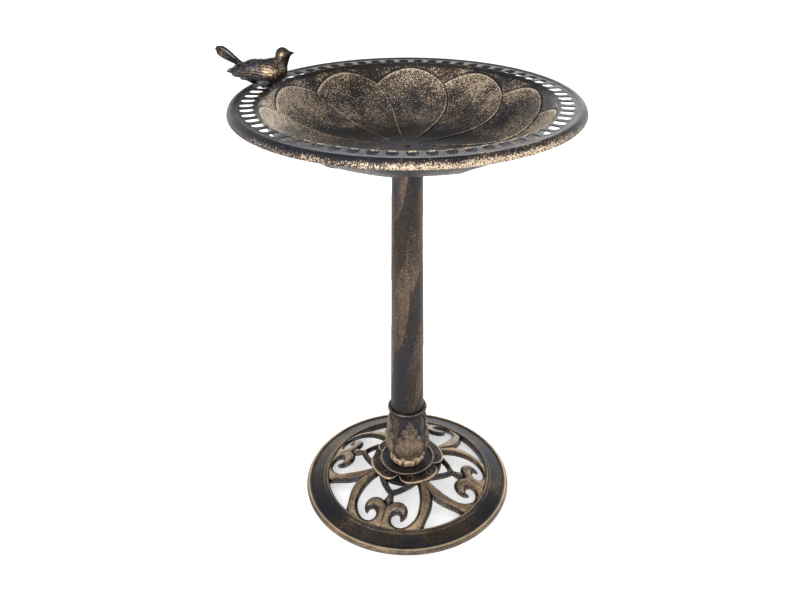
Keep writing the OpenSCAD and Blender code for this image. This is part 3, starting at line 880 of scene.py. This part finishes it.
def make_dish():
    z = DISH_Z
    rod = ROD_HOLE_R
    profile = [[rod, z], [46, z], [48, z + 1], [48.6, z + 2.6], [48, z + 4], [46.6, z + 4.6], [45.2, z + 4.2],
               [44, z + 3.1], [42, z + 2.5], [rod, z + 2.5]]
    points = closed_profile(profile, 0.9, 1.6)

    def dust_and_light(angle, r, z_at, push):
        # Painted highlight: a light line round the top of the dish's rim.
        return 0.02 + 0.85 * bump(r - 46.9, 1.0) * (z_at > z + 2)

    add_turned("dish", points, 240, None, dust_and_light, DARK_PAINT)


make_dish()


def make_ring():
    lip = RING_R
    inner = RING_INNER_R
    profile = [[lip - 14, 0], [lip - 3.5, 0], [lip - 0.9, 1.8], [lip, 5], [lip - 0.6, 8.4], [lip - 2.4, 10.8],
               [lip - 5, 11.6], [lip - 7.6, 11], [lip - 9, 10], [152, 18.2], [150, 20.2], [147.5, 21],
               [145, 20.6], [inner, RING_TOP], [inner, 8], [148, 9], [lip - 16, 4]]
    points = closed_profile(profile, 1.2, 1.9)

    def relief(angle, r, z):
        face = smoothstep(152, 154, r) * (1 - smoothstep(lip - 10, lip - 8, r)) * (z > 9)
        wave = np.sin(angle * 5 + 1) + 0.6 * np.sin(angle * 11 + 2.3) + 0.4 * np.sin(angle * 23)
        return 0.12 * wave * face

    def dust_and_light(angle, r, z, push):
        # Crest, outer edge, inner bead and face edge are lighter: dust with a painted highlight. The groove
        # inside the lip is darker: painted shade.
        crest = 0.95 * bump(r - (lip - 4.4), 1.9) * (z > 6)
        outer = 0.3 * bump(r - lip, 2.0)
        bead = 0.7 * bump(r - 146.6, 1.0) * (z > 17)
        edge = 0.22 * bump(r - 152.4, 0.8) * (z > 15)
        return 0.10 + crest + outer + bead + edge - 0.2 * bump(r - (lip - 9), 1.2)

    add_turned("base_ring", points, 480, relief, dust_and_light, RING_PAINT)


make_ring()


# ---------------------------------------------------------------- openwork

OPENWORK_T = 8.0
STRAP_SIDE = 3.2
STRAP_GRID = 0.85
SCROLL_OUTLINE = smooth_loop([
    [40, 46], [56, 61], [69.3, 69.8], [84, 73.5], [98, 73.5], [112, 71.5], [124, 70],
    [140, 62], [148, 40], [150, 15], [146, -4], [128, -4], [112, -4], [105, 1],
    [100, 7], [96, 15], [95.5, 24], [99, 32], [106, 37.5], [114.5, 38.5], [121.5, 35.5],
    [125.5, 29.5], [120, 28], [117, 24], [118, 19], [122, 15], [128, 14.5],
    [132.5, 18], [135, 25], [133.5, 35], [125.5, 45.5], [113, 52.5], [100, 53.5],
    [87, 51.5], [74, 47.5], [60, 41], [46, 33], [36, 33]], 3)
ARCH_SIDE = [[89.5, 0], [83.5, 9], [77.5, 16], [69.5, 23.5], [60, 30.5], [48, 37]]
ARCH_INNER_SIDE = [[76.5, 0], [73.5, 5], [69, 9.5], [62, 14.5], [54, 20], [44, 26]]
CLASP_SIDE = [[80, 0], [84, 4.5], [90, 6], [96, 8], [101, 9.5], [107, 4]]


def dome_z(r):
    return HUB_TOP - (HUB_TOP - RING_TOP) * (r / RING_INNER_R) ** 3.2


def across_x(side):
    return side + [[x, -y] for x, y in reversed(side) if abs(y) > 1e-6]


def strap_top(d, half, high):
    """Height of a strap over the openwork's underside at a distance d inside its outline."""
    top = STRAP_SIDE + (high - STRAP_SIDE) * rounded(d - 1.4, half)
    return top + 0.75 * bump(d - 0.7, 0.65) - 0.5 * bump(d - 1.9, 0.6)


def strap_field(distance, joint, half, high):
    """The solid of a strap: inside its outline and its joint faces, under its own rounded top."""
    def field(x, y, z):
        plan_x, plan_y = x[:, :, 0], y[:, :, 0]
        d = distance(plan_x, plan_y)
        r = np.hypot(plan_x, plan_y)
        base = dome_z(r) - OPENWORK_T
        edge = np.maximum(-d, np.maximum(r - RING_INNER_R - 0.8, HUB_R - 1.5 - r))
        edge = np.maximum(edge, -joint(plan_x, plan_y))
        top = base + strap_top(d, half, high)
        under = base + 1.2 * bump(d, 1.2)
        f = np.maximum(z - top[:, :, None], under[:, :, None] - z)
        return np.maximum(f, edge[:, :, None])
    return field


def scroll_distance(x, y):
    return outline_distance(x, y, SCROLL_OUTLINE)


def scroll_joint(x, y):
    """Distance to the faces where a scroll meets its mirror image and the next quarter's scroll."""
    return np.minimum(y, (x - y) / math.sqrt(2)) + 0.05


def no_joint(x, y):
    return np.full(x.shape, 9.0)


def arch_distance(x, y):
    outer = outline_distance(x, y, across_x(ARCH_SIDE))
    inner = outline_distance(x, y, across_x(ARCH_INNER_SIDE))
    return np.minimum(outer, -inner)


def clasp_distance(x, y):
    return outline_distance(x, y, smooth_loop(across_x(CLASP_SIDE), 3))


def openwork_piece(node, shape, quarter, flip):
    verts, quads, dust_and_light = shape
    verts = verts.copy()
    if flip:
        verts[:, 1] *= -1
        quads = quads[:, ::-1]
    verts = rotated(verts, BASE_TURN + 90 * (quarter - 1))
    add_piece(node, verts, [quads], dust_and_light, SCROLL_PAINT, "stand")


def strap_shape(distance, joint, half, high, low_corner, high_corner):
    verts, quads = skin(strap_field(distance, joint, half, high), low_corner, high_corner, STRAP_GRID)
    r = np.hypot(verts[:, 0], verts[:, 1])
    height = verts[:, 2] - (dome_z(r) - OPENWORK_T)
    d = distance(verts[:, 0], verts[:, 1])
    # Crest and thin outer edge lighter: dust with a painted highlight. The low part near the underside stays
    # dark.
    dust_and_light = 0.52 * smoothstep(2.8, 6.4, d) * (height > 6) + 0.5 * bump(d - 0.8, 0.45) * (height > 2.6)
    return verts, quads, np.where(height < 1.5, 0.05, dust_and_light)


def make_openwork():
    scroll = strap_shape(scroll_distance, scroll_joint, 7.5, 8.8, (34, -2, 8), (146, 76, 52))
    arch = strap_shape(arch_distance, no_joint, 4.2, 9.2, (40, -42, 30), (92, 42, 54))
    clasp = strap_shape(clasp_distance, no_joint, 5.0, 9.0, (77, -12, 24), (110, 12, 50))
    for quarter in range(1, 5):
        openwork_piece(f"scroll_{quarter}_left", scroll, quarter, True)
        openwork_piece(f"scroll_{quarter}_right", scroll, quarter, False)
        openwork_piece(f"arch_{quarter}", arch, quarter, False)
        openwork_piece(f"clasp_{quarter}", clasp, quarter, False)


make_openwork()

ROSETTE_R = 66.0
ROSETTE_NOTCH = 20.0
ROSETTE_T = 2.5
SCREW_R = 53.0
SCREW_SPREAD = 20.0


def make_rosette():
    columns = 360
    turn = np.arange(columns) * 360 / columns
    reach = ROSETTE_R - ROSETTE_NOTCH * (np.abs(turn % 90 - 45) / 45) ** 6
    shares = np.concatenate([np.linspace(0.3, 0.9, 32), [0.92, 0.935, 0.95, 0.962, 0.974, 0.986, 0.995, 1.0]])
    a = np.radians(turn + BASE_TURN)
    verts, dust_and_light_rows = [], []

    def add_row(r, z, dust_and_light):
        verts.append(np.stack([r * np.cos(a), r * np.sin(a), z], axis=1))
        dust_and_light_rows.append(dust_and_light)

    for share in shares[::2][:-4]:
        add_row(reach * share, dome_z(reach * share), np.zeros(columns))
    add_row(reach * 0.99, dome_z(reach), np.zeros(columns))
    for share in shares[::-1]:
        r = reach * share
        inside = reach - r
        z = dome_z(r) + ROSETTE_T
        lift = 1.1 * bump(inside - 2.2, 1.5) - 0.3 * bump(inside - 4.6, 1.0)
        lift = lift - 1.2 * (1 - smoothstep(0, 1.1, inside))
        middle = np.abs(turn % 90 - 45)
        line = middle / 57.3 * r
        lift = lift - 0.45 * bump(line, 0.8) * smoothstep(4, 6, inside)
        pit = np.full(columns, 99.0)
        for side in (-1, 1):
            across = np.radians(turn % 90 - 45 - side * SCREW_SPREAD) * r
            pit = np.minimum(pit, np.hypot(across, r - SCREW_R))
        lift = lift - 1.2 * (1 - smoothstep(3.4, 4.2, pit)) + 0.5 * bump(pit - 5.2, 0.8)
        dust_and_light = 0.10 + 0.8 * bump(inside - 1.8, 1.1) + 0.35 * bump(pit - 5.0, 1.0) + 0.2 * smoothstep(55, 66, r)
        dust_and_light = dust_and_light - 0.5 * (1 - smoothstep(3.6, 4.4, pit)) - 0.3 * bump(line, 0.8)
        add_row(r, np.where(r < 48.5, np.minimum(z + lift, DISH_Z + 0.2), z + lift), dust_and_light)
    quads = ring_quads(len(verts), columns, closed=True)
    add_piece("rosette", np.vstack(verts), [quads], np.concatenate(dust_and_light_rows), ROSETTE_PAINT, "stand")


make_rosette()


# ---------------------------------------------------------------- bird

BIRD_TURN = 160.5
BIRD_FORWARD = 4.0
BIRD_GRID = 0.72
TAIL_TILT = 36
TAIL_LENGTH = 41.2


def soft_union(a, b, width):
    h = np.clip(0.5 + 0.5 * (b - a) / width, 0, 1)
    return b + (a - b) * h - width * h * (1 - h)


def ellipsoid(x, y, z, centre, radii, tilt=0.0):
    """Signed distance, nearly, to an ellipsoid whose X axis is tilted up by tilt degrees."""
    c, s = math.cos(math.radians(tilt)), math.sin(math.radians(tilt))
    dx, dy, dz = x - centre[0], y - centre[1], z - centre[2]
    u, w = c * dx + s * dz, -s * dx + c * dz
    k = np.sqrt((u / radii[0]) ** 2 + (dy / radii[1]) ** 2 + (w / radii[2]) ** 2)
    return (k - 1) * min(radii)


def taper(x, y, z, a, b, ra, rb):
    """Distance to a round bar from a to b whose radius goes from ra to rb."""
    a, b = np.array(a, dtype=float), np.array(b, dtype=float)
    d = b - a
    t = np.clip(((x - a[0]) * d[0] + (y - a[1]) * d[1] + (z - a[2]) * d[2]) / (d @ d), 0, 1)
    away = np.sqrt((x - a[0] - t * d[0]) ** 2 + (y - a[1] - t * d[1]) ** 2 + (z - a[2] - t * d[2]) ** 2)
    return away - (ra + (rb - ra) * t)


def scales(u, v, length, width):
    """Overlapping rounded feathers: 1 at a feather's free end, falling to 0 at the next one's."""
    row = np.floor(u / length)
    across = v / width + 0.5 * (row % 2)
    across = across - np.round(across)
    along = u / length - row
    return (along + 2.2 * across ** 2) % 1.0


def bird_field(x, y, z):
    side = np.abs(y)
    body = taper(x, y, z, (4, 0, 19.6), (-20, 0, 20.5), 19.0, 16.4)
    body = soft_union(body, taper(x, y, z, (-20, 0, 20.5), (-38, 0, 22), 16.4, 10.0), 6)
    body = soft_union(body, taper(x, y, z, (-38, 0, 22.5), (-50, 0, 21.5), 10.0, 4.5), 4)
    body = soft_union(body, ellipsoid(x, y, z, (13, 0, 22), (16.5, 17, 17.2)), 6)
    body = soft_union(body, taper(x, y, z, (17, 0, 27), (23.4, 0, 42), 12.0, 8.8), 3)
    head = ellipsoid(x, y, z, (24.2, 0, 45.4), (10.2, 9.2, 9.6), 6)
    beak = taper(x, y * 1.15, z, (31, 0, 46.2), (41.6, 0, 46.6), 4.6, 0.7)
    chin = taper(x, y, z, (34.6, 0, 44.6), (23.4, 0, 33.0), 1.8, 8.2)
    brow = taper(x, side, z, (26, 7.0, 48.8), (31, 4.4, 48.9), 1.5, 1.1)
    for feature, blend in ((head, 3), (beak, 1.5), (chin, 2.5), (brow, 1.6)):
        body = soft_union(body, feature, blend)
    eye = np.sqrt((x - 28.6) ** 2 + (side - 7.3) ** 2 + (z - 46.4) ** 2)
    body = np.maximum(body, 2.2 - eye)
    body = np.minimum(body, eye - 1.7)
    wing = ellipsoid(x, side, z, (-10, 14.6, 22.5), (25, 4.8, 12.5), -4)
    wing = soft_union(wing, ellipsoid(x, side, z, (-32, 11.0, 21.8), (21, 3.6, 7.8), -2), 4)
    wing = soft_union(wing, taper(x, side, z, (-44, 8.4, 22.0), (-57.4, 5.0, 21.4), 4.8, 1.5), 3)
    wing = soft_union(wing, taper(x, side, z, (-30, 11.5, 17.0), (-47.6, 6.6, 14.8), 4.4, 1.3), 2)
    wing = soft_union(wing, taper(x, side, z, (-20, 13.2, 13.6), (-37.8, 8.8, 11.4), 4.2, 1.3), 2)
    body = soft_union(body, wing, 2.0)
    c, s = math.cos(math.radians(TAIL_TILT)), math.sin(math.radians(TAIL_TILT))
    u, w = -(x + 38) * c + (z - 30.6) * s, (x + 38) * s + (z - 30.6) * c
    half = 4.8 + 5.6 * smoothstep(0, 30, u) - 6.6 * smoothstep(31, TAIL_LENGTH, u)
    deep = 1.4 * smoothstep(6, 26, u) - 2.6 * smoothstep(34, TAIL_LENGTH, u)
    dip = 2.4 + deep + 1.5 * bump(half - side - 1.2, 1.4)
    dip = dip - 0.35 * bump(side, 0.9) - 0.3 * bump(side - 3.6, 0.7)
    tail = np.maximum(np.maximum(side - half, np.abs(w) - dip), np.maximum(u - TAIL_LENGTH, -u))
    body = soft_union(body, tail, 1.6)
    foot = np.maximum(np.hypot(x + BIRD_FORWARD, y) - 7.5, np.maximum(z - 9, -z))
    body = soft_union(body, foot, 1.5)
    return np.maximum(body, -z)


def feather_height(x, y, z):
    """Relief of the feathers, in mm: scales on breast and back, long quills on the wings and tail."""
    side = np.abs(y)
    around = np.arctan2(side, z - 21) * 17
    small = 0.5 * (scales(-x + 60, around, 5.2, 6.4) - 0.35)
    quills = 0.14 * np.cos((z - 22 + 0.12 * (x + 20)) * 2 * math.pi / 4.3)
    quills = quills + 0.45 * (scales(-x + 40, z, 9.0, 5.0) - 0.4)
    on_wing = smoothstep(11.5, 14, side) * (1 - smoothstep(6, 14, x)) * (1 - smoothstep(32, 36, z))
    on_wing = np.maximum(on_wing, 1 - smoothstep(-42, -34, x))
    height = small * (1 - on_wing) + quills * on_wing
    head = smoothstep(35, 40, z) * (x > 9)
    tail = smoothstep(29, 33, z) * (x < -36)
    return height * (1 - head) * (1 - tail) * smoothstep(2, 8, z)


def make_bird():
    def field(x, y, z):
        return bird_field(x, y, z) - feather_height(x, y, z)
    verts, quads = skin(field, (-80, -23, -1), (46, 23, 62), BIRD_GRID)
    x, y, z = verts.T
    dust_and_light = 0.14 + 0.45 * feather_height(x, y, z)
    # Painted highlights: a light patch on the breast and the front of the wings, and another on the cheeks
    # and crown.
    dust_and_light = dust_and_light + 0.62 * bump(z - 24, 9) * bump(x - 3, 12) * smoothstep(8, 20, np.abs(y))
    dust_and_light = dust_and_light + 0.55 * (bump(z - 46, 6) * bump(x - 24, 7) * smoothstep(3, 8, np.abs(y)))
    # Darker towards the foot and the belly's underside.
    dust_and_light = dust_and_light * smoothstep(0, 12, z)
    turn = math.radians(BIRD_TURN)
    seat = np.array([SLOT_R * math.cos(turn), SLOT_R * math.sin(turn), BAND_Z])
    verts = verts + np.array([BIRD_FORWARD, 0, 0]) + seat
    add_piece("bird", verts, [quads], dust_and_light, BIRD_PAINT, "bird")


make_bird()


# ---------------------------------------------------------------- camera and light

FLOOR_HALF = 30
BACKDROP_R, BACKDROP_H, BACKDROP_SIDES = 29.0, 12.0, 48
FLOOR_GLOW = 0.46
BACKDROP_GLOW = 0.55
SUN_POWER = 1.3
WORLD_POWER = 0.36


def add_object(name, data):
    item = bpy.data.objects.new(name, data)
    bpy.context.scene.collection.objects.link(item)
    return item


def add_camera():
    camera = add_object("camera", bpy.data.cameras.new("camera"))
    camera.location = (0, -1.103, 1.022)
    camera.rotation_euler = (math.radians(59.9), 0, 0)
    camera.data.sensor_width = 36
    camera.data.lens = 35.69
    camera.data.shift_x = -0.0091
    camera.data.clip_end = 100
    bpy.context.scene.camera = camera


def add_paper(name, corners, faces, dimmest, glow):
    """White paper round the object, which glows a little and isn't part of it."""
    mesh = bpy.data.meshes.new(name)
    mesh.from_pydata(corners, [], faces)
    paper = add_object(name, mesh)
    n = Nodes(name + "_paper")
    tint = n.mix(n.noise(2.0), (dimmest, dimmest, dimmest, 1), (0.94, 0.94, 0.94, 1))
    n.shader.inputs["Emission Color"].default_value = (1, 1, 1, 1)
    n.shader.inputs["Emission Strength"].default_value = glow
    mesh.materials.append(n.finish(tint, 0.9))


def add_lamp(name, place, target, size, power, tint=(1, 1, 1)):
    light = bpy.data.lights.new(name, "AREA")
    light.shape = "RECTANGLE"
    light.size, light.size_y = size
    light.energy = power
    light.color = tint
    lamp = add_object(name, light)
    lamp.location = place
    lamp.rotation_euler = Vector(np.array(target) - np.array(place)).to_track_quat("-Z", "Y").to_euler()


def light_scene():
    sun = bpy.data.lights.new("sky", "SUN")
    sun.energy = SUN_POWER
    sun.angle = math.radians(70)
    add_object("sky", sun).rotation_euler = (math.radians(18), math.radians(-12), 0)
    add_lamp("front", (-0.7, -2.3, 1.15), (0, 0, 0.45), (1.5, 1.3), 34, (1, 0.97, 0.93))
    add_lamp("right", (2.2, -1.1, 1.3), (0, 0, 0.45), (0.7, 1.4), 9)
    add_lamp("back", (0.5, 2.4, 1.3), (0, 0, 0.6), (1.8, 0.7), 8)
    world = bpy.data.worlds.new("studio")
    world.use_nodes = True
    world.node_tree.nodes["Background"].inputs["Color"].default_value = (0.96, 0.98, 1, 1)
    world.node_tree.nodes["Background"].inputs["Strength"].default_value = WORLD_POWER
    bpy.context.scene.world = world
    bpy.context.scene.view_settings.view_transform = "Standard"


add_camera()
add_paper("floor", [(-FLOOR_HALF, -FLOOR_HALF, 0), (FLOOR_HALF, -FLOOR_HALF, 0),
                    (FLOOR_HALF, FLOOR_HALF, 0), (-FLOOR_HALF, FLOOR_HALF, 0)],
          [(0, 1, 2, 3)], 0.92, FLOOR_GLOW)
turns = [2 * math.pi * k / BACKDROP_SIDES for k in range(BACKDROP_SIDES)]
add_paper("backdrop",
          [(BACKDROP_R * math.cos(a), BACKDROP_R * math.sin(a), h) for h in (0, BACKDROP_H) for a in turns],
          [(k, (k + 1) % BACKDROP_SIDES, BACKDROP_SIDES + (k + 1) % BACKDROP_SIDES, BACKDROP_SIDES + k)
           for k in range(BACKDROP_SIDES)], 0.90, BACKDROP_GLOW)
light_scene()
